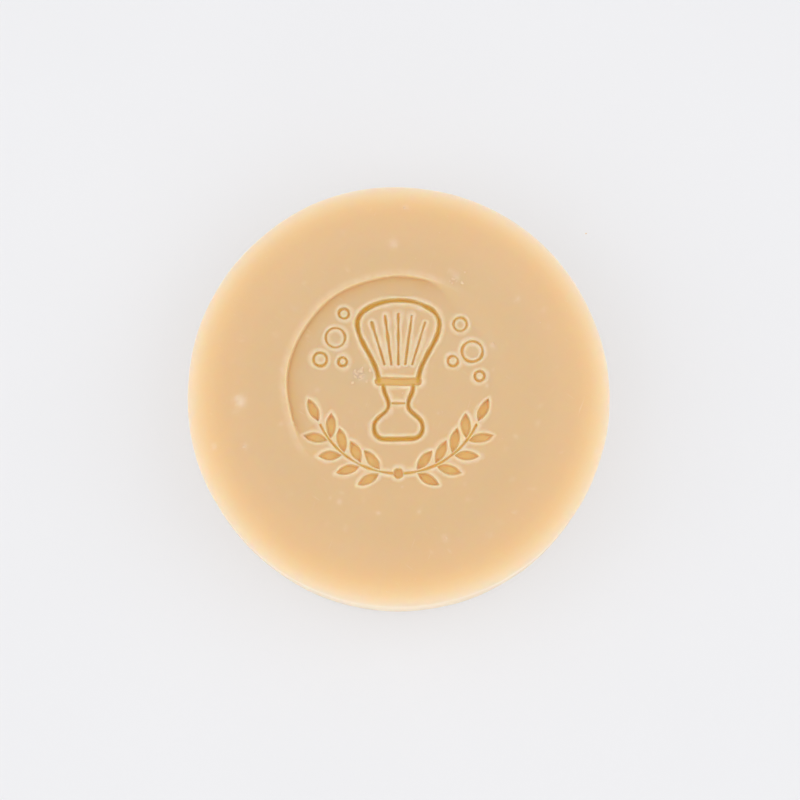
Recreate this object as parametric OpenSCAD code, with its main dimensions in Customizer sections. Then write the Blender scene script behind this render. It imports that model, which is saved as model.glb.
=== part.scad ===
// Shaving soap puck: one solid cake of hard soap with a mark pressed into its top face.
// The mark is a shaving brush among lather bubbles, over two leafy branches, in a shallow round recess.
// Millimetres. +Z is up, +Y is the top of the mark, and the origin is the centre of the flat underside.

/* [Puck] */
// Diameter of the straight side wall
puck_d = 70; // [62:1:80]
// Height from the underside to the flat of the top face
puck_h = 24; // [18:1:32]
// Width of the soft shoulder, from the flat of the top out to the side wall
shoulder_w = 6.5; // [4:0.5:8]
// Drop of the soft shoulder, from the flat of the top down to the side wall
shoulder_drop = 4.5; // [2:0.5:6]
// Radius of the rounded edge round the underside
foot_r = 2; // [1:0.5:4]

/* [Pressed mark] */
// Diameter of the round recess that holds the mark
mark_d = 37; // [28:1:38]
// How far the mark sits above the centre of the face
mark_shift = 1.2; // [0:0.1:2]
// Depth of the round recess below the top face
recess_depth = 0.4; // [0.2:0.1:0.8]
// Width of the heavy grooves that outline the brush
heavy_w = 0.9; // [0.6:0.1:1.1]
// Depth of the heavy grooves below the recess floor
heavy_depth = 0.8; // [0.4:0.1:1.2]
// Width of the fine grooves of the bristles, bubbles and stems
fine_w = 0.5; // [0.3:0.1:0.6]
// Depth of the fine grooves below the recess floor
fine_depth = 0.4; // [0.2:0.1:0.6]
// Depth of the leaf and collar pockets below the recess floor
pocket_depth = 0.9; // [0.4:0.1:1.2]
// Number of leaf pairs on each branch
leaf_pairs = 4; // [2:1:4]

/* [Hidden] */

puck_r = puck_d / 2;
wall_top = puck_h - shoulder_drop;
floor_z = puck_h - recess_depth;
clear = 1; // how far a cutter stands above the top face

// The mark is drawn for a recess of this diameter, and scaled to the real one
drawn_d = 37;
k = mark_d / drawn_d;

// Brush: right half of the bristle outline, from the collar up to the crown
knot_curves = k * [
    [[3.2, 1.0], [3.7, 5.0], [6.5, 7.0], [6.8, 10.2]],
    [[6.8, 10.2], [7.0, 12.8], [3.6, 14.4], [0, 14.4]],
];
// Brush: right half of the handle outline, from the collar down to the middle of its foot
handle_curves = k * [
    [[2.5, 0.4], [2.4, -1.4], [1.6, -1.8], [1.6, -3.0]],
    [[1.6, -3.0], [1.6, -4.6], [4.0, -4.7], [4.0, -6.6]],
    [[4.0, -6.6], [4.0, -8.0], [3.2, -8.6], [2.2, -8.6]],
    [[2.2, -8.6], [1.5, -8.6], [0.7, -8.6], [0, -8.6]],
];
collar_y = 0.9 * k;
collar_half = 3.2 * k;
collar_w = 1.5 * k;
bead_y = -2.7 * k;
bead_half = 1.0 * k;
bristles = 5;
bristle_foot = [1.15, 3.8] * k; // sideways step between bristles at the foot, and height there
bristle_tip = [2.2, 12.1] * k; // sideways step at the tip, and height of the middle one
bristle_fall = 0.35 * k; // how much lower each tip is, times the square of its place from the middle

// Lather bubbles: centre x and y, and radius
bubbles = k * [
    [-10.4, 8.2, 1.6], [-12.9, 4.6, 1.1], [-9.2, 4.2, 0.7], [-9.0, 12.2, 0.8],
    [10.2, 10.4, 1.1], [12.2, 5.9, 1.7], [9.0, 4.3, 0.8], [13.4, 1.8, 0.8],
];

// Branches: both rise from the bottom of the mark along one circle
branch_r = 14.3 * k;
branch_from = 4; // degrees from the bottom of the mark, as for the leaves
first_leaf = 11;
leaf_step = 13.5;
leaf_l = 4.2 * k;
leaf_w = 1.7 * k;
leaf_splay = 40; // degrees between a leaf and its stem
leaf_gap = 0.4 * k; // between a leaf's foot and the middle of the stem
knot_r = 0.9 * k; // round tie where the branches meet

arc_steps = 24; // points along each quarter round of the profile
curve_steps = 8; // points along each curve of the mark
$fn = 64;

// One quarter of an ellipse round a centre, from angle a0 to a1
function quarter(centre, rx, rz, a0, a1) =
    [for (i = [0:arc_steps]) let (a = a0 + (a1 - a0) * i / arc_steps)
        centre + [rx * cos(a), rz * sin(a)]];

// A point at t on a cubic curve, and a path through several curves that follow each other
function on_curve(c, t) =
    pow(1 - t, 3) * c[0] + 3 * pow(1 - t, 2) * t * c[1] + 3 * (1 - t) * t * t * c[2] + pow(t, 3) * c[3];
function path_of(curves) =
    concat([curves[0][0]], [for (c = curves, i = [1:curve_steps]) on_curve(c, i / curve_steps)]);
// A half outline that ends on the axis, carried on to its mirror image
function both_sides(path) =
    concat(path, [for (i = [len(path) - 2:-1:0]) [-path[i][0], path[i][1]]]);

// Direction of a path at point i, in degrees
function heading(path, i) =
    let (d = path[min(i + 1, len(path) - 1)] - path[max(i - 1, 0)]) atan2(d[1], d[0]);
// A point at distance d from point i, turned from the path's direction there
function aside(path, i, d, turn) = let (a = heading(path, i) + turn) path[i] + d * [cos(a), sin(a)];
// Half a circle round point i, clockwise from one side of the path to the other
function round_end(path, i, d, from) =
    [for (a = [15:15:165]) aside(path, i, d, from - a)];
// Outline of a stroke of one width along a path, with round ends
function stroke(path, w) =
    let (last = len(path) - 1)
    concat(
        [for (i = [0:last]) aside(path, i, w / 2, 90)],
        round_end(path, last, w / 2, 90),
        [for (i = [last:-1:0]) aside(path, i, w / 2, -90)],
        round_end(path, 0, w / 2, -90)
    );

// A straight-sided cutter that reaches this deep below the recess floor
module press(depth) {
    translate([0, 0, floor_z - depth]) linear_extrude(depth + recess_depth + clear) children();
}

// The cake before it is stamped, turned from half of its section
module blank() {
    rotate_extrude()
        polygon(concat(
            [[0, 0]],
            quarter([puck_r - foot_r, foot_r], foot_r, foot_r, -90, 0),
            quarter([puck_r - shoulder_w, wall_top], shoulder_w, shoulder_drop, 0, 90),
            [[0, puck_h]]
        ));
}

module recess() {
    translate([0, 0, floor_z]) cylinder(d = mark_d, h = recess_depth + clear);
}

module brush_outline() {
    for (curves = [knot_curves, handle_curves])
        press(heavy_depth) polygon(stroke(both_sides(path_of(curves)), heavy_w));
}

module brush_collar() {
    press(pocket_depth) polygon(stroke([[-collar_half, collar_y], [collar_half, collar_y]], collar_w));
}

module brush_detail() {
    press(fine_depth) polygon(stroke([[-bead_half, bead_y], [bead_half, bead_y]], fine_w));
    for (i = [0:bristles - 1]) {
        place = i - (bristles - 1) / 2;
        foot = [place * bristle_foot[0], bristle_foot[1]];
        tip = [place * bristle_tip[0], bristle_tip[1] - bristle_fall * place * place];
        press(fine_depth) polygon(stroke([foot, tip], fine_w));
    }
}

module lather() {
    for (b = bubbles)
        press(fine_depth) translate([b[0], b[1]]) difference() {
            circle(r = b[2] + fine_w / 2);
            circle(r = b[2] - fine_w / 2);
        }
}

// A pointed leaf from its foot at the origin along +X: where two equal circles cross
module leaf() {
    arc_r = (leaf_l * leaf_l + leaf_w * leaf_w) / (4 * leaf_w);
    translate([leaf_l / 2, 0]) intersection_for(side = [-1, 1])
        translate([0, side * (arc_r - leaf_w / 2)]) circle(r = arc_r);
}

// The branch on the right: angle is measured from the bottom of the mark
module branch() {
    top = first_leaf + leaf_pairs * leaf_step;
    stem = [for (a = [branch_from:2:top]) branch_r * [sin(a), -cos(a)]];
    press(fine_depth) polygon(stroke(stem, fine_w));
    for (i = [0:leaf_pairs - 1], side = [-1, 1])
        press(pocket_depth) rotate(first_leaf + i * leaf_step) translate([0, -branch_r])
            rotate(side * leaf_splay) translate([leaf_gap, 0]) leaf();
    press(pocket_depth) rotate(top) translate([leaf_gap, -branch_r]) leaf();
}

module branches() {
    branch();
    mirror([1, 0, 0]) branch();
    translate([0, -branch_r, floor_z - pocket_depth])
        cylinder(r = knot_r, h = pocket_depth + recess_depth + clear);
}

module soap_puck() {
    color([0.89, 0.74, 0.56])
        difference() {
            blank();
            translate([0, mark_shift, 0]) {
                recess();
                brush_outline();
                brush_collar();
                brush_detail();
                lather();
                branches();
            }
        }
}

soap_puck();
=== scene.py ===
"""A stamped puck of hard shaving soap on a white table, with crumbs of the same soap on its face."""
import math

import bmesh
import bpy
import numpy as np
from mathutils import Matrix, Vector
from mathutils.geometry import delaunay_2d_cdt


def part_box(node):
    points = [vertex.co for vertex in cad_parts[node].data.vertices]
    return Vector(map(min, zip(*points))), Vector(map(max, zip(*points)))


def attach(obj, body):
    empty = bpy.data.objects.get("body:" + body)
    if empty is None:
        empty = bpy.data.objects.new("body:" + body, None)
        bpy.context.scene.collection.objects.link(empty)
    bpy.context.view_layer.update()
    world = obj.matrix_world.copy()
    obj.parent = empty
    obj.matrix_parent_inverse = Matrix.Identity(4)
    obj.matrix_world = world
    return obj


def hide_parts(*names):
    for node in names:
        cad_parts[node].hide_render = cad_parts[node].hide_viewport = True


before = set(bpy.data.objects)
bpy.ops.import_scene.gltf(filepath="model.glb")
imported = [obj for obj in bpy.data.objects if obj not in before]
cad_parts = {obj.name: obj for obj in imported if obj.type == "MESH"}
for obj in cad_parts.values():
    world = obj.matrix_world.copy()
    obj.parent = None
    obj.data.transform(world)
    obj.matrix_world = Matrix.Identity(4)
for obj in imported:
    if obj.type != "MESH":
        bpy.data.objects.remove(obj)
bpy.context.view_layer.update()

low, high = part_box("soap_puck")

# Everything below is in millimetres, and goes to metres where an object is made
MM = 0.001

# The puck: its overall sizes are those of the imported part, and the rest are those of its design
PUCK_R = (high.x - low.x) / 2 / MM
PUCK_H = high.z / MM
SHOULDER_W = 6.5
SHOULDER_DROP = 4.5
FOOT_R = 2.0
FLAT_R = PUCK_R - SHOULDER_W
WALL_TOP = PUCK_H - SHOULDER_DROP

# The pressed mark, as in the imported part
MARK_R = 18.5
MARK_SHIFT = 1.2
RECESS_DEPTH = 0.4
HEAVY_W, HEAVY_DEPTH = 0.9, 0.8
FINE_W, FINE_DEPTH = 0.5, 0.4
POCKET_DEPTH = 0.9
KNOT_CURVES = [
    [(3.2, 1.0), (3.7, 5.0), (6.5, 7.0), (6.8, 10.2)],
    [(6.8, 10.2), (7.0, 12.8), (3.6, 14.4), (0, 14.4)],
]
HANDLE_CURVES = [
    [(2.5, 0.4), (2.4, -1.4), (1.6, -1.8), (1.6, -3.0)],
    [(1.6, -3.0), (1.6, -4.6), (4.0, -4.7), (4.0, -6.6)],
    [(4.0, -6.6), (4.0, -8.0), (3.2, -8.6), (2.2, -8.6)],
    [(2.2, -8.6), (1.5, -8.6), (0.7, -8.6), (0, -8.6)],
]
CURVE_STEPS = 8
COLLAR_Y, COLLAR_HALF, COLLAR_W = 0.9, 3.2, 1.5
BEAD_Y, BEAD_HALF = -2.7, 1.0
BRISTLES = 5
BRISTLE_FOOT = (1.15, 3.8)
BRISTLE_TIP = (2.2, 12.1)
BRISTLE_FALL = 0.35
BUBBLES = [
    (-10.4, 8.2, 1.6), (-12.9, 4.6, 1.1), (-9.2, 4.2, 0.7), (-9.0, 12.2, 0.8),
    (10.2, 10.4, 1.1), (12.2, 5.9, 1.7), (9.0, 4.3, 0.8), (13.4, 1.8, 0.8),
]
BRANCH_R, BRANCH_FROM, STEM_STEP = 14.3, 4, 2
LEAF_PAIRS, FIRST_LEAF, LEAF_STEP = 4, 11, 13.5
LEAF_L, LEAF_W, LEAF_SPLAY, LEAF_GAP = 4.2, 1.7, 40, 0.4
KNOT_R = 0.9


# ---------------------------------------------------------------- noise and curves

def ease(t):
    """Smooth step from 0 to 1."""
    t = np.clip(t, 0, 1)
    return t * t * (3 - 2 * t)


def ripple(points, size, seed, waves=11):
    """Smooth noise over 2-D or 3-D points, about -1 to 1, with features of about the given size."""
    rng = np.random.default_rng(seed)
    total = np.zeros(len(points))
    for _ in range(waves):
        direction = rng.normal(size=points.shape[1])
        direction /= np.linalg.norm(direction)
        length = size * rng.uniform(1.3, 3.0)
        total += np.sin(2 * math.pi * points @ direction / length + rng.uniform(0, 2 * math.pi))
    return total / math.sqrt(2 * waves)


def curve_path(curves):
    """Points along cubic curves that follow each other."""
    path = [np.array(curves[0][0], float)]
    for curve in curves:
        c = np.array(curve, float)
        for i in range(1, CURVE_STEPS + 1):
            t = i / CURVE_STEPS
            u = 1 - t
            path.append(u**3 * c[0] + 3 * u * u * t * c[1] + 3 * u * t * t * c[2] + t**3 * c[3])
    return np.array(path)


def both_sides(path):
    """A half outline that ends on the axis, carried on to its mirror image."""
    return np.concatenate([path, (path * [-1, 1])[-2::-1]])


def on_branch(angle):
    """A point on the circle of the branches: the angle is in degrees from the bottom of the mark."""
    return np.array([BRANCH_R * math.sin(math.radians(angle)), -BRANCH_R * math.cos(math.radians(angle))])


# ---------------------------------------------------------------- the mark as distances

def stroke_distance(points, path, width):
    """Signed distance to the edge of a stroke along a path, less than 0 inside it."""
    nearest = np.full(len(points), np.inf)
    path = np.array(path, float)
    for start, end in zip(path[:-1], path[1:]):
        run = end - start
        along = np.clip((points - start) @ run / (run @ run), 0, 1)
        nearest = np.minimum(nearest, np.linalg.norm(points - start - along[:, None] * run, axis=1))
    return nearest - width / 2


def leaf_distance(points, foot, heading):
    """Signed distance to the edge of a pointed leaf, which is where two equal circles cross."""
    angle = math.radians(heading)
    away = points - foot
    along = np.abs(away @ [math.cos(angle), math.sin(angle)] - LEAF_L / 2)
    across = np.abs(away @ [-math.sin(angle), math.cos(angle)])
    arc_r = (LEAF_L**2 + LEAF_W**2) / (4 * LEAF_W)
    inside = np.hypot(along, across + arc_r - LEAF_W / 2) - arc_r
    past_tip = (along > LEAF_L / 2) & (inside > 0)
    return np.where(past_tip, np.hypot(along - LEAF_L / 2, across), inside)


def branch_leaves():
    """Foot and heading of each leaf on both branches."""
    leaves = []
    for i in range(LEAF_PAIRS + 1):
        at = FIRST_LEAF + i * LEAF_STEP
        for side in (-1, 1) if i < LEAF_PAIRS else (0,):
            heading = at + side * LEAF_SPLAY
            gap = LEAF_GAP * np.array([math.cos(math.radians(heading)), math.sin(math.radians(heading))])
            foot = on_branch(at) + gap
            leaves.append((foot, heading))
            leaves.append((foot * [-1, 1], 180 - heading))
    return leaves


def mark_distances(points):
    """Signed distances to the heavy grooves, the fine grooves, the pockets and the recess."""
    heavy = np.minimum.reduce([
        stroke_distance(points, both_sides(curve_path(curves)), HEAVY_W)
        for curves in (KNOT_CURVES, HANDLE_CURVES)
    ])
    fine = [stroke_distance(points, [(-BEAD_HALF, BEAD_Y), (BEAD_HALF, BEAD_Y)], FINE_W)]
    for i in range(BRISTLES):
        place = i - (BRISTLES - 1) / 2
        foot = (place * BRISTLE_FOOT[0], BRISTLE_FOOT[1])
        tip = (place * BRISTLE_TIP[0], BRISTLE_TIP[1] - BRISTLE_FALL * place * place)
        fine.append(stroke_distance(points, [foot, tip], FINE_W))
    for x, y, radius in BUBBLES:
        fine.append(np.abs(np.hypot(points[:, 0] - x, points[:, 1] - y) - radius) - FINE_W / 2)
    stem_end = FIRST_LEAF + LEAF_PAIRS * LEAF_STEP
    stem = np.array([on_branch(a) for a in np.arange(BRANCH_FROM, stem_end + 1, STEM_STEP)])
    fine += [stroke_distance(points, stem * [side, 1], FINE_W) for side in (1, -1)]
    pockets = [leaf_distance(points, foot, heading) for foot, heading in branch_leaves()]
    collar = [(-COLLAR_HALF, COLLAR_Y), (COLLAR_HALF, COLLAR_Y)]
    pockets.append(stroke_distance(points, collar, COLLAR_W))
    pockets.append(np.linalg.norm(points - on_branch(0), axis=1) - KNOT_R)
    recess = np.linalg.norm(points, axis=1) - MARK_R
    return heavy, np.minimum.reduce(fine), np.minimum.reduce(pockets), recess


# ---------------------------------------------------------------- the pressed surface

# Widths of the slopes from an edge down to a floor, and the size of the soap pushed up round an edge
HEAVY_WALL, FINE_WALL, POCKET_WALL, RECESS_WALL = 0.38, 0.25, 0.3, 0.35
LIP_TOP, LIP_W, LIP_H = 0.2, 0.75, 0.09
RECESS_LIP_TOP, RECESS_LIP_W, RECESS_LIP_H = 0.3, 1.5, 0.04
# A lip starts this far inside an edge, and rises over this distance
LIP_INSIDE, LIP_RISE, RECESS_LIP_RISE = 0.1, 0.2, 0.25
# How strongly a fine groove and the recess's lip are tinted, next to a heavy groove and its lip: the
# grooves' painted shade and glow, and the lips' painted highlight
FINE_TINT, RECESS_LIP_TINT = 0.75, 0.6
TROUGH_W, TROUGH_DEPTH = 1.3, 0.14
# How far the edges of the strokes wander: in short wobbles, and in longer swellings
WOBBLE, SWELL = 0.06, 0.06
# How much the depth of the cuts varies from place to place
UNEVEN = 0.12
# The recess is deepest toward this side, and its wall widens by this much on the other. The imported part
# has an even recess: here its edge shows as a partial arc, fitted to the arc in the photo
CRISP_SIDE = (-0.74, 0.67)
RECESS_SPREAD = 3.0
# Depth at the middle of the recess, and what the crisp side adds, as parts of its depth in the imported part
RECESS_MIDDLE, RECESS_LEAN = 0.85, 0.4


def pressed(points):
    """Height change of the face at points in the mark's own frame, and the masks that tint it."""
    heavy, fine, pockets, recess = mark_distances(points)
    wobble = WOBBLE * ripple(points, 1.3, seed=3) + SWELL * ripple(points, 7, seed=6)
    uneven = 1 + UNEVEN * ripple(points, 12, seed=5)
    heavy, fine, pockets = heavy + wobble, fine + wobble, pockets + wobble
    recess = recess + 2 * WOBBLE * ripple(points, 5, seed=4)
    toward = points @ CRISP_SIDE / MARK_R
    lean = RECESS_MIDDLE + RECESS_LEAN * toward
    fade = ease(0.5 + 0.55 * toward)
    crisp = ease(2 * toward)
    groove = np.maximum(HEAVY_DEPTH * ease(-heavy / HEAVY_WALL), FINE_DEPTH * ease(-fine / FINE_WALL))
    pocket = POCKET_DEPTH * ease(-pockets / POCKET_WALL)
    in_recess = ease(-recess / (RECESS_WALL + RECESS_SPREAD * (1 - crisp)))
    trough = np.exp(-np.abs(recess) / TROUGH_W) * in_recess * crisp
    sunk = RECESS_DEPTH * lean * in_recess + TROUGH_DEPTH * trough
    cut = np.maximum(groove, pocket) * uneven
    edge = np.minimum.reduce([heavy, fine, pockets])
    lip_width = (LIP_W - LIP_TOP) * (1 + 0.5 * ripple(points, 2.5, seed=7))
    lip = (1 - ease((edge - LIP_TOP) / lip_width)) * ease((edge + LIP_INSIDE) / LIP_RISE)
    outer_lip = 1 - ease((recess - RECESS_LIP_TOP) / (RECESS_LIP_W - RECESS_LIP_TOP))
    outer_lip *= ease((recess + LIP_INSIDE) / RECESS_LIP_RISE) * crisp
    return LIP_H * lip + RECESS_LIP_H * outer_lip - sunk - cut, {
        # Painted shade, and painted golden glow of light bouncing in the grooves
        "groove": np.maximum(ease(-heavy / HEAVY_WALL), FINE_TINT * ease(-fine / FINE_WALL)),
        # Painted golden glow of light bouncing in the pockets
        "pocket": ease(-pockets / POCKET_WALL),
        # Painted shade along the inside of the recess's crisp edge
        "trough": trough,
        # Painted highlight on the lips round the edges
        "lip": np.maximum(lip, RECESS_LIP_TINT * outer_lip),
        "floor": in_recess * fade,
    }


# ---------------------------------------------------------------- the puck's mesh

# Cell of the lattice beside the edges of the mark, and how far from an edge it stays that fine
FINE_CELL, FINE_BAND = 0.115, 0.4
# Radius of the disc that holds the mark, and points in each ring round it
DISC_R, SPOKES = 21.6, 400
# Steps of the section across the face, round the shoulder, down the wall, round the foot and underneath
FACE_STEPS, SHOULDER_STEPS, WALL_STEPS, FOOT_STEPS, UNDER_STEPS = 12, 25, 28, 10, 18
# Where the tint of the edge starts, the part of it lost down the wall, and the length of that change
# The edge's paler tint is partly painted rim glow and partly the soap's paler dried edge
EDGE_FROM, EDGE_LOSS, WALL_FADE = 21.0, 0.15, 12
# How far the outline is out of round, in two, three and seven swellings
OUT_OF_ROUND = (0.08, 0.05, 0.03)
# Unevenness of the face, and of the shoulder and wall
FACE_RIPPLE, WALL_RIPPLE = 0.06, 0.05
# Mean depth of the hollow in the underside, and the width of the flat rim round it
HOLLOW_DEPTH, HOLLOW_RIM = 0.05, 4
# Knocks in the wall, each with a size and depth in these ranges
DENTS = 45
DENT_SIZE, DENT_DEPTH = (0.9, 2.6), (0.06, 0.25)
# Pale patches on the face: x, y, size and strength
PALE_PATCHES = [
    (-26.3, -0.75, 0.8, 1.0), (-25.9, -1.6, 0.8, 1.0), (-0.8, 25.0, 0.7, 0.8), (-6.6, 3.4, 1.1, 0.4),
    (-5.9, 2.6, 0.8, 0.4), (9.6, 19.4, 0.5, 0.6), (8.8, 20.3, 0.6, 0.45),
]
# Pale spots, all of one size and strength: x and y
PALE_SPOTS = [
    (1.3, 31.1), (-25.2, -8.6), (-30.4, -8.6), (15.5, 8.0), (14.6, 1.4), (19.7, 15.8),
    (-9.7, -17.8), (7.7, -23.8), (-3.3, -19.6), (33.2, 10.0), (32.6, -9.4),
]
SPOT_SIZE, SPOT_STRENGTH = 0.5, 0.45
# A dusting of specks, each with a size and strength in these ranges
SPECKS = 70
SPECK_SIZE, SPECK_STRENGTH = (0.2, 0.55), (0.05, 0.35)


def face_points():
    """A triangular lattice over the stamped part of the face, finer beside every pressed edge."""
    row_step = FINE_CELL * math.sqrt(3) / 2
    rows = int(DISC_R / row_step)
    half = int(DISC_R / FINE_CELL) + 1
    j, i = np.meshgrid(np.arange(-rows, rows + 1), np.arange(-half, half + 1), indexing="ij")
    lattice = np.stack([(i + 0.5 * (j % 2)) * FINE_CELL, j * row_step], axis=-1).reshape(-1, 2)
    coarse = ((j % 2 == 0) & ((i + j // 2) % 2 == 0)).ravel()
    inside = np.linalg.norm(lattice, axis=1) < DISC_R - FINE_CELL
    lattice, coarse = lattice[inside], coarse[inside]
    edges = np.abs(np.array(mark_distances(lattice - [0, MARK_SHIFT]))).min(axis=0)
    return lattice[coarse | (edges < FINE_BAND)]


def ring(radius):
    """Points of one ring round the puck's axis."""
    angles = np.arange(SPOKES) * 2 * math.pi / SPOKES
    return radius * np.stack([np.cos(angles), np.sin(angles)], axis=1)


def section():
    """Radius and height of the rings outside the stamped disc: face, shoulder, wall, foot, underside."""
    rings = [(r, PUCK_H) for r in np.linspace(DISC_R, FLAT_R, FACE_STEPS)]
    for a in np.radians(np.linspace(90, 0, SHOULDER_STEPS)[1:]):
        rings.append((FLAT_R + SHOULDER_W * math.cos(a), WALL_TOP + SHOULDER_DROP * math.sin(a)))
    rings += [(PUCK_R, z) for z in np.linspace(WALL_TOP, FOOT_R, WALL_STEPS)[1:]]
    for a in np.radians(np.linspace(0, -90, FOOT_STEPS)[1:]):
        rings.append((PUCK_R - FOOT_R + FOOT_R * math.cos(a), FOOT_R + FOOT_R * math.sin(a)))
    rings += [(r, 0) for r in np.linspace(PUCK_R - FOOT_R, 0, UNDER_STEPS)[1:-1]]
    return rings


def puck_mesh():
    """The whole cake as one closed mesh, with its tint masks."""
    rings = section()
    face = np.concatenate([ring(rings[0][0]), face_points()])
    found = delaunay_2d_cdt([Vector(p) for p in face], [], [list(range(SPOKES))], 1, 1e-7)
    face = np.array([tuple(v) for v in found[0]])
    faces = [tuple(f) for f in found[2]]
    # The outer ring's vertices, found again in the order of the spokes
    rim = [int(np.argmin(((face - p) ** 2).sum(axis=1))) for p in ring(rings[0][0])]

    flat = [face]
    heights = [np.full(len(face), PUCK_H)]
    inner = rim
    count = len(face)
    for radius, z in rings[1:]:
        outer = list(range(count, count + SPOKES))
        flat.append(ring(radius))
        heights.append(np.full(SPOKES, z))
        for s in range(SPOKES):
            t = (s + 1) % SPOKES
            faces.append((inner[s], outer[s], outer[t], inner[t]))
        inner = outer
        count += SPOKES
    flat.append(np.zeros((1, 2)))
    heights.append(np.zeros(1))
    faces += [(inner[s], count, inner[(s + 1) % SPOKES]) for s in range(SPOKES)]

    points = np.column_stack([np.concatenate(flat), np.concatenate(heights)])
    return shape_puck(points, faces)


def shape_puck(points, faces):
    """Presses the mark into the ideal cake and takes off its perfection."""
    plan = points[:, :2].copy()
    radius = np.linalg.norm(plan, axis=1)
    turn = np.arctan2(plan[:, 1], plan[:, 0])
    on_top = points[:, 2] > WALL_TOP
    under = points[:, 2] < FOOT_R
    height, masks = pressed(plan - [0, MARK_SHIFT])
    masks = {key: mask * on_top for key, mask in masks.items()}
    # The edge mask grows from 0 well inside the face to 1 at the wall, and falls again down the wall
    # It paints a paler edge: partly painted rim glow, partly the soap's paler dried edge
    masks["edge"] = np.clip((radius - EDGE_FROM) / (PUCK_R - EDGE_FROM), 0, 1) ** 2
    masks["edge"] *= 1 - EDGE_LOSS * ease((WALL_TOP - points[:, 2]) / WALL_FADE)
    masks["warm"] = np.clip(0.5 - 0.4 * plan[:, 1] / PUCK_R + 0.3 * ripple(points, 9, seed=14), 0, 1)
    masks["fleck"] = on_top * flecked(plan)
    masks["side"] = ease((radius - PUCK_R + 1) / 0.8) * ease((WALL_TOP + 1 - points[:, 2]) / 3)
    # Painted shade toward the foot of the wall
    masks["wear_and_foot_shade"] = ease((WALL_TOP - 2 - points[:, 2]) / WALL_FADE)

    # The outline is a little out of round, and the face is not dead flat
    twofold, threefold, sevenfold = OUT_OF_ROUND
    outline = twofold * np.cos(2 * (turn + math.pi / 4)) + threefold * np.cos(3 * turn + 1)
    outline += sevenfold * np.cos(7 * turn)
    outward = plan / np.maximum(radius, 1e-6)[:, None]
    out = outline * ease((radius - DISC_R) / (PUCK_R - DISC_R))
    out += WALL_RIPPLE * ripple(points, 7, seed=11) * ease((radius - FLAT_R) / SHOULDER_W)
    out -= dents(points)
    points[:, :2] += outward * out[:, None]
    points[:, 2] += np.where(on_top, height + FACE_RIPPLE * ripple(plan, 11, seed=12), 0)
    hollow = HOLLOW_DEPTH * np.maximum(1 + ripple(plan, 9, seed=13), 0)
    hollow *= ease((PUCK_R - HOLLOW_RIM - radius) / HOLLOW_RIM)
    points[:, 2] += np.where(under, hollow, 0)
    return points, faces, masks


def dents(points):
    """Depth of the knocks that the wall and the bottom edge have taken in handling."""
    rng = np.random.default_rng(41)
    depth = np.zeros(len(points))
    for i in range(DENTS):
        turn = rng.uniform(0, 2 * math.pi)
        # Every third knock is on the bottom edge
        z = rng.uniform(0.5, 2) if i % 3 == 0 else rng.uniform(3, WALL_TOP - 4)
        place = [PUCK_R * math.cos(turn), PUCK_R * math.sin(turn), z]
        size, deepest = rng.uniform(*DENT_SIZE), rng.uniform(*DENT_DEPTH)
        away = np.linalg.norm(points - place, axis=1) * (1 + 0.15 * ripple(points, size, seed=42))
        depth = np.maximum(depth, deepest * (1 - ease(away / size)))
    return depth


def flecked(plan):
    """Paleness of the face where dry soap was pressed into it: the listed places, and a dusting."""
    rng = np.random.default_rng(31)
    flecks = PALE_PATCHES + [(x, y, SPOT_SIZE, SPOT_STRENGTH) for x, y in PALE_SPOTS]
    for _ in range(SPECKS):
        radius, turn = FLAT_R * math.sqrt(rng.uniform(0, 1)), rng.uniform(0, 2 * math.pi)
        x, y = radius * math.cos(turn), radius * math.sin(turn)
        flecks.append((x, y, rng.uniform(*SPECK_SIZE), rng.uniform(*SPECK_STRENGTH)))
    pale = np.zeros(len(plan))
    for x, y, size, strength in flecks:
        squeeze = rng.uniform(0.6, 1.0)
        away = (plan - [x, y]) @ np.array(Matrix.Rotation(rng.uniform(0, math.pi), 2))
        pale += strength * np.exp(-((away[:, 0] / size) ** 2 + (away[:, 1] / (squeeze * size)) ** 2))
    return np.clip(pale * (1 + 0.4 * ripple(plan, 0.6, seed=15)), 0, 1)


def new_object(name, points, faces, masks=None):
    """A smooth-shaded object in metres from points in millimetres, with one attribute for each mask."""
    mesh = bpy.data.meshes.new(name)
    mesh.from_pydata((np.asarray(points) * MM).tolist(), [], faces)
    for key, values in (masks or {}).items():
        attribute = mesh.attributes.new(key, "FLOAT", "POINT")
        attribute.data.foreach_set("value", np.asarray(values, np.float32))
    mesh.polygons.foreach_set("use_smooth", [True] * len(mesh.polygons))
    mesh.update()
    made = bpy.data.objects.new(name, mesh)
    bpy.context.scene.collection.objects.link(made)
    return made


# ---------------------------------------------------------------- crumbs on the face

# Thickness of a lump as part of its width, how rough it is, and how far its middle is above the face
CRUMB_FLATNESS, CRUMB_ROUGHNESS, CRUMB_LIFT = 0.35, 0.22, 0.12
# Crumbs on their own: x, y, length and width
LONE_CRUMBS = [(-25.5, -8.7, 0.5, 0.4), (15.6, 8.4, 0.5, 0.4), (7.9, -23.7, 0.5, 0.4), (1.0, 31.0, 0.6, 0.4)]


def face_height(x, y):
    """Height of the shaped face under one point."""
    radius = math.hypot(x, y)
    plan = np.array([[x, y]])
    drop = 0.0
    if radius > FLAT_R:
        across = min((radius - FLAT_R) / SHOULDER_W, 0.999)
        drop = SHOULDER_DROP * (1 - math.sqrt(1 - across**2))
    rise = pressed(plan - [0, MARK_SHIFT])[0][0] + FACE_RIPPLE * ripple(plan, 11, seed=12)[0]
    return PUCK_H - drop + rise


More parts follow.
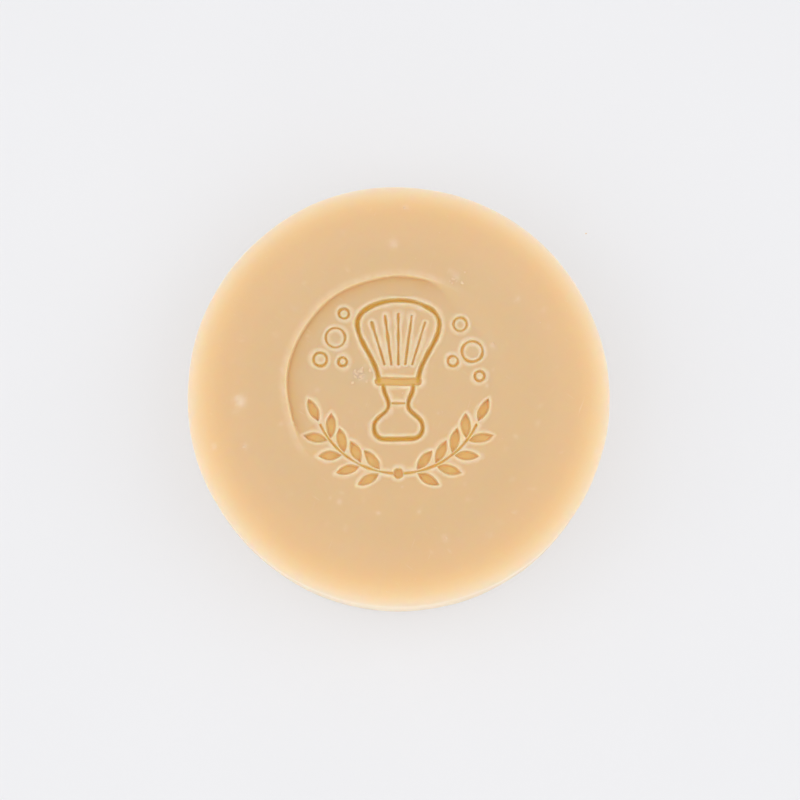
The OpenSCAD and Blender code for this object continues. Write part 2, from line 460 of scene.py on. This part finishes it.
def lumps(name, places, seed):
    """Small rough lumps of soap in one mesh. A place is x, y, length and width."""
    rng = np.random.default_rng(seed)
    work = bmesh.new()
    for x, y, length, width in places:
        thick = CRUMB_FLATNESS * width
        made = bmesh.ops.create_icosphere(work, subdivisions=3, radius=0.5)["verts"]
        co = np.array([v.co[:] for v in made])
        shift = 1 + CRUMB_ROUGHNESS * ripple(co + rng.uniform(0, 50, 3), 0.35, seed=int(rng.integers(1000)))
        co = co * shift[:, None] * [length, width, thick]
        co = co @ np.array(Matrix.Rotation(rng.uniform(0, math.pi), 3, "Z"))
        co += [x, y, face_height(x, y) + CRUMB_LIFT * thick]
        for vertex, place in zip(made, co):
            vertex.co = place
    mesh_points = [v.co[:] for v in work.verts]
    work.verts.index_update()
    mesh_faces = [tuple(v.index for v in f.verts) for f in work.faces]
    work.free()
    return new_object(name, mesh_points, mesh_faces)


def scatter(centre, spread, count, size, seed):
    """Places for a loose cluster of crumbs."""
    rng = np.random.default_rng(seed)
    places = []
    for _ in range(count):
        x, y = np.array(centre) + rng.normal(scale=spread, size=2)
        length = size * rng.uniform(0.6, 1.4)
        places.append((x, y, length, length * rng.uniform(0.55, 0.9)))
    return places


# ---------------------------------------------------------------- materials

def linear(red, green, blue):
    """Linear RGBA for a display colour given as 0 to 255."""
    def one(value):
        value /= 255
        return value / 12.92 if value <= 0.04045 else ((value + 0.055) / 1.055) ** 2.4
    return (one(red), one(green), one(blue), 1.0)


def add_node(tree, kind, inputs=None, **settings):
    """Adds a shader node. An input is a value, or a socket to link from."""
    made = tree.nodes.new("ShaderNode" + kind)
    for name, value in settings.items():
        setattr(made, name, value)
    for name, value in (inputs or {}).items():
        if isinstance(value, bpy.types.NodeSocket):
            tree.links.new(value, made.inputs[name])
        else:
            made.inputs[name].default_value = value
    return made


def mix_colour(tree, factor, first, second, blend="MIX"):
    """Colour from first to second as the factor goes from 0 to 1."""
    colour_a, colour_b = 6, 7
    made = add_node(
        tree, "Mix", {0: factor, colour_a: first, colour_b: second},
        data_type="RGBA", blend_type=blend, clamp_factor=True,
    )
    return made.outputs[2]


def ramp(tree, value, stops):
    """Colour at a value, between stops of place and colour."""
    made = add_node(tree, "ValToRGB", {"Fac": value})
    elements = made.color_ramp.elements
    while len(elements) < len(stops):
        elements.new(0.5)
    for element, (place, colour) in zip(elements, stops):
        element.position, element.color = place, colour
    return made.outputs["Color"]


def remap(tree, value, from_low, from_high, to_low, to_high):
    """A value carried from one range to another, and held at its ends."""
    made = add_node(tree, "MapRange", {
        "Value": value, "From Min": from_low, "From Max": from_high, "To Min": to_low, "To Max": to_high,
    })
    return made.outputs["Result"]


def noise(tree, place, size_mm, detail=3.0, roughness=0.55):
    """Noise with features of about the given size, 0 to 1."""
    made = add_node(tree, "TexNoise", {
        "Vector": place, "Scale": 1 / (size_mm * MM), "Detail": detail, "Roughness": roughness,
    })
    return made.outputs["Fac"]


def multiply(tree, first, second):
    """Product of two values."""
    return add_node(tree, "Math", {0: first, 1: second}, operation="MULTIPLY").outputs[0]


def new_material(name):
    """A material, its node tree and its main shader."""
    material = bpy.data.materials.new(name)
    material.use_nodes = True
    tree = material.node_tree
    return material, tree, tree.nodes["Principled BSDF"]


# Soap colours from the middle of the face out to the edge, each with its place on the edge mask
# Paler toward the edge: partly painted rim glow, partly the soap's paler dried edge
SOAP_AND_RIM_GLOW_TONES = [
    (0.0, linear(217, 184, 139)),
    (0.16, linear(221, 186, 141)),
    (0.41, linear(223, 187, 139)),
    (0.58, linear(226, 191, 141)),
    (0.78, linear(228, 200, 156)),
    (1.0, linear(229, 208, 178)),
]
WARM_TINT = (1.0, 0.975, 0.92, 1.0)
COOL_TINT = (0.97, 1.0, 1.05, 1.0)
# Painted shade and golden glow of bouncing light in the grooves, and painted golden glow in the pockets
GROOVE_SHADE_AND_GLOW = linear(225, 186, 80)
POCKET_GLOW = linear(232, 194, 122)
# Painted shade along the inside of the recess's crisp edge
TROUGH_SHADE = linear(214, 166, 100)
# Pale soap for the flecks and scratches, and a painted highlight on the lips
PALE = linear(230, 207, 178)
# Painted shade toward the foot of the wall, which makes it a little darker and cooler
FOOT_SHADE_TINT = (0.885, 0.885, 0.94, 1.0)


def scratches(tree, place, turn, shift):
    """Long faint scratches along one direction, 0 to 1."""
    turned = add_node(tree, "Mapping", {
        "Vector": place, "Rotation": (0, 0, math.radians(turn)), "Location": (shift, 0, 0),
    })
    drawn_out = add_node(tree, "Mapping", {
        "Vector": turned.outputs["Vector"], "Scale": (1.0, 0.06, 1.0),
    })
    fine = noise(tree, drawn_out.outputs["Vector"], 0.3, detail=1.0)
    return remap(tree, fine, 0.72, 0.8, 0.0, 1.0)


def soap_material():
    """Pale waxy soap, tinted by the masks that the puck's mesh carries."""
    material, tree, shader = new_material("hard_soap")
    place = add_node(tree, "TexCoord").outputs["Object"]
    mask = {
        key: add_node(tree, "Attribute", attribute_name=key).outputs["Fac"]
        for key in (
            "edge", "warm", "fleck", "floor", "trough", "lip", "pocket", "groove", "side", "wear_and_foot_shade",
        )
    }
    mottle = remap(tree, noise(tree, place, 3.2, detail=5.0), 0.35, 0.7, 0.0, 0.8)
    # Paler toward the edge: partly painted rim glow, partly the soap's paler dried edge
    colour = ramp(tree, mask["edge"], SOAP_AND_RIM_GLOW_TONES)
    colour = mix_colour(tree, multiply(tree, mask["warm"], 0.7), colour, WARM_TINT, "MULTIPLY")
    colour = mix_colour(tree, multiply(tree, mottle, 0.5), colour, COOL_TINT, "MULTIPLY")
    colour = mix_colour(tree, multiply(tree, mask["floor"], 0.6), colour, COOL_TINT, "MULTIPLY")
    # Painted shade toward the foot of the wall
    colour = mix_colour(tree, mask["wear_and_foot_shade"], colour, FOOT_SHADE_TINT, "MULTIPLY")
    # Painted shade along the inside of the recess's crisp edge
    colour = mix_colour(tree, mask["trough"], colour, TROUGH_SHADE)
    # Painted highlight on the lips pushed up round the edges, in uneven patches
    lip_highlight_patches = remap(tree, noise(tree, place, 1.6), 0.3, 0.7, 0.3, 0.85)
    colour = mix_colour(tree, multiply(tree, mask["lip"], lip_highlight_patches), colour, PALE)
    colour = mix_colour(tree, mask["fleck"], colour, PALE)
    # Painted golden glow of light bouncing in the pockets
    colour = mix_colour(tree, mask["pocket"], colour, POCKET_GLOW)
    # Painted shade, and painted golden glow of light bouncing in the grooves
    colour = mix_colour(tree, mask["groove"], colour, GROOVE_SHADE_AND_GLOW)
    crossed = add_node(tree, "Math", {
        0: scratches(tree, place, 20, 0.3), 1: scratches(tree, place, -55, 0.7),
    }, operation="MAXIMUM").outputs[0]
    scratch = multiply(tree, crossed, remap(tree, mask["side"], 0.0, 0.2, 1.0, 0.0))
    # Patches of wear where the scratches show
    wear_and_foot_shade = remap(tree, noise(tree, place, 9), 0.45, 0.6, 0.0, 0.35)
    colour = mix_colour(tree, multiply(tree, scratch, wear_and_foot_shade), colour, PALE)
    tree.links.new(colour, shader.inputs["Base Color"])
    rough = remap(tree, noise(tree, place, 2.5), 0.3, 0.7, 0.42, 0.6)
    duller = remap(tree, mask["side"], 0.0, 1.0, 1.0, 1.35)
    tree.links.new(multiply(tree, rough, duller), shader.inputs["Roughness"])
    shine = remap(tree, mask["side"], 0.0, 1.0, 0.5, 0.15)
    tree.links.new(shine, shader.inputs["Specular IOR Level"])

    shader.inputs["Subsurface Weight"].default_value = 0.85
    shader.inputs["Subsurface Radius"].default_value = (1.0, 0.5, 0.22)
    shader.inputs["Subsurface Scale"].default_value = 4.0 * MM
    shader.inputs["IOR"].default_value = 1.45
    shader.inputs["Sheen Weight"].default_value = 0.3
    shader.inputs["Sheen Roughness"].default_value = 0.4
    shader.inputs["Sheen Tint"].default_value = (1.0, 0.96, 0.9, 1.0)

    peel = noise(tree, place, 1.4, detail=4.0)
    grain = noise(tree, place, 0.25, detail=2.0)
    first = add_node(tree, "Bump", {"Height": peel, "Strength": 0.5, "Distance": 0.04 * MM})
    second = add_node(tree, "Bump", {
        "Height": grain, "Strength": 0.4, "Distance": 0.012 * MM, "Normal": first.outputs["Normal"],
    })
    third = add_node(tree, "Bump", {
        "Height": scratch, "Strength": 0.5, "Distance": 0.02 * MM, "Normal": second.outputs["Normal"],
    }, invert=True)
    # Faint drag lines up the wall: a guess, as the photo hardly shows the wall
    drawn_up = add_node(tree, "Mapping", {"Vector": place, "Scale": (1.0, 1.0, 0.06)})
    drag = noise(tree, drawn_up.outputs["Vector"], 0.8, detail=3.0)
    fourth = add_node(tree, "Bump", {
        "Height": multiply(tree, drag, mask["side"]), "Strength": 0.6, "Distance": 0.08 * MM,
        "Normal": third.outputs["Normal"],
    })
    tree.links.new(fourth.outputs["Normal"], shader.inputs["Normal"])
    return material


def crumb_material(name, colour, other):
    """Dry soap, speckled between two colours."""
    material, tree, shader = new_material(name)
    place = add_node(tree, "TexCoord").outputs["Object"]
    speck = remap(tree, noise(tree, place, 0.3, detail=3.0), 0.35, 0.65, 0.0, 1.0)
    tree.links.new(mix_colour(tree, speck, colour, other), shader.inputs["Base Color"])
    shader.inputs["Roughness"].default_value = 0.55
    shader.inputs["Subsurface Weight"].default_value = 0.1
    shader.inputs["Subsurface Radius"].default_value = (1.0, 0.6, 0.35)
    shader.inputs["Subsurface Scale"].default_value = 0.2 * MM
    bump = add_node(tree, "Bump", {
        "Height": noise(tree, place, 0.15, detail=3.0), "Strength": 0.6, "Distance": 0.02 * MM,
    })
    tree.links.new(bump.outputs["Normal"], shader.inputs["Normal"])
    return material


# The table's own light: even out to one distance, and rising to its far value at another, in metres
TABLE_GLOW, TABLE_FAR_GLOW = 0.46, 0.9
TABLE_EVEN_R, TABLE_FAR_R = 0.35, 1.6


def table_material():
    """A milky sheet lit from beneath, so that the puck casts hardly any shadow or tint on it.

    It is brighter far from the puck, where it runs into the sides of the tent.
    """
    material, tree, shader = new_material("light_table")
    place = add_node(tree, "TexCoord").outputs["Object"]
    tone = remap(tree, noise(tree, place, 60, detail=2.0), 0.3, 0.7, 0.0, 1.0)
    colour = mix_colour(tree, tone, (0.36, 0.36, 0.366, 1.0), (0.37, 0.37, 0.376, 1.0))
    tree.links.new(colour, shader.inputs["Base Color"])
    shader.inputs["Roughness"].default_value = 0.75
    shader.inputs["Specular IOR Level"].default_value = 0.2
    shader.inputs["Emission Color"].default_value = (1.0, 1.0, 1.02, 1.0)
    distance = add_node(tree, "VectorMath", {0: place}, operation="LENGTH").outputs["Value"]
    glow = remap(tree, distance, TABLE_EVEN_R, TABLE_FAR_R, TABLE_GLOW, TABLE_FAR_GLOW)
    tree.links.new(glow, shader.inputs["Emission Strength"])
    return material


# ---------------------------------------------------------------- camera and light

# The camera's distance and tilt, and the width and centre of what it sees at the top of the wall
CAMERA_AWAY, CAMERA_TILT = 700, 5.1
VIEW_WIDTH = 132.7
VIEW_CENTRE = (0.27, -0.58)
SENSOR = 36.0
# The tent's strength overhead and at its foot, and the height, as a sine, where the first takes over
HIGH_LIGHT, LOW_LIGHT, LOW_LIGHT_TOP = 0.6, 5.0, 0.15
# Soft lights: name, place and power
SOFT_BOX_SIZE = 900
SOFT_BOXES = [
    ("soft_box_left", (-620, 0, 760), 2.8),
    ("soft_box_right", (620, 0, 760), 2.7),
    ("soft_box_front", (0, -620, 760), 1.18),
    ("soft_box_back", (0, 620, 760), 0.5),
    ("soft_box_over", (0, 30, 1300), 0.75),
]
TABLE_HALF = 3000


def make_camera():
    """Looks almost straight down at the puck's widest outline, and sees a sliver of its near wall."""
    data = bpy.data.cameras.new("camera")
    data.sensor_width = SENSOR
    data.lens = SENSOR * CAMERA_AWAY / VIEW_WIDTH
    camera = bpy.data.objects.new("camera", data)
    tilt = math.radians(CAMERA_TILT)
    target = Vector((VIEW_CENTRE[0], VIEW_CENTRE[1], WALL_TOP))
    camera.location = (target + CAMERA_AWAY * Vector((0, -math.sin(tilt), math.cos(tilt)))) * MM
    camera.rotation_euler = (tilt, 0, 0)
    bpy.context.scene.collection.objects.link(camera)
    bpy.context.scene.camera = camera


def soft_box(name, place, power):
    """A square soft light at a place in millimetres, turned to the puck."""
    data = bpy.data.lights.new(name, "AREA")
    data.shape = "RECTANGLE"
    data.size = data.size_y = SOFT_BOX_SIZE * MM
    data.energy = power
    light = bpy.data.objects.new(name, data)
    light.location = Vector(place) * MM
    light.rotation_euler = (-light.location).to_track_quat("-Z", "Y").to_euler()
    bpy.context.scene.collection.objects.link(light)


def make_studio():
    """A white tent whose sides are brightest low down, which light the shoulder more than the face."""
    world = bpy.data.worlds.new("studio")
    world.use_nodes = True
    tree = world.node_tree
    backdrop = tree.nodes["Background"]
    backdrop.inputs["Color"].default_value = (0.97, 0.98, 1.0, 1.0)
    direction = add_node(tree, "SeparateXYZ", {0: add_node(tree, "TexCoord").outputs["Generated"]})
    strength = remap(tree, direction.outputs["Z"], 0.0, LOW_LIGHT_TOP, LOW_LIGHT, HIGH_LIGHT)
    tree.links.new(strength, backdrop.inputs["Strength"])
    bpy.context.scene.world = world
    for name, place, power in SOFT_BOXES:
        soft_box(name, place, power)
    half = TABLE_HALF
    corners = [(-half, -half, 0), (half, -half, 0), (half, half, 0), (-half, half, 0)]
    floor = new_object("table", corners, [(0, 1, 2, 3)])
    floor.data.materials.append(table_material())
    bpy.context.scene.view_settings.view_transform = "Standard"


# ---------------------------------------------------------------- the scene

make_camera()
make_studio()

points, faces, masks = puck_mesh()
puck = new_object("stamped_soap_cake", points, faces, masks)
puck.data.materials.append(soap_material())
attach(puck, "root")
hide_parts("soap_puck")

crumbs = lumps(
    "soap_crumbs",
    scatter((-6.3, 3.1), 0.75, 14, 0.55, seed=21) + scatter((9.5, 19.6), 0.7, 7, 0.45, seed=22)
    + LONE_CRUMBS + scatter((0, 0), 14, 22, 0.22, seed=25),
    seed=23,
)
crumbs.data.materials.append(crumb_material("soap_crumb", linear(229, 200, 163), linear(221, 189, 148)))
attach(crumbs, "root")
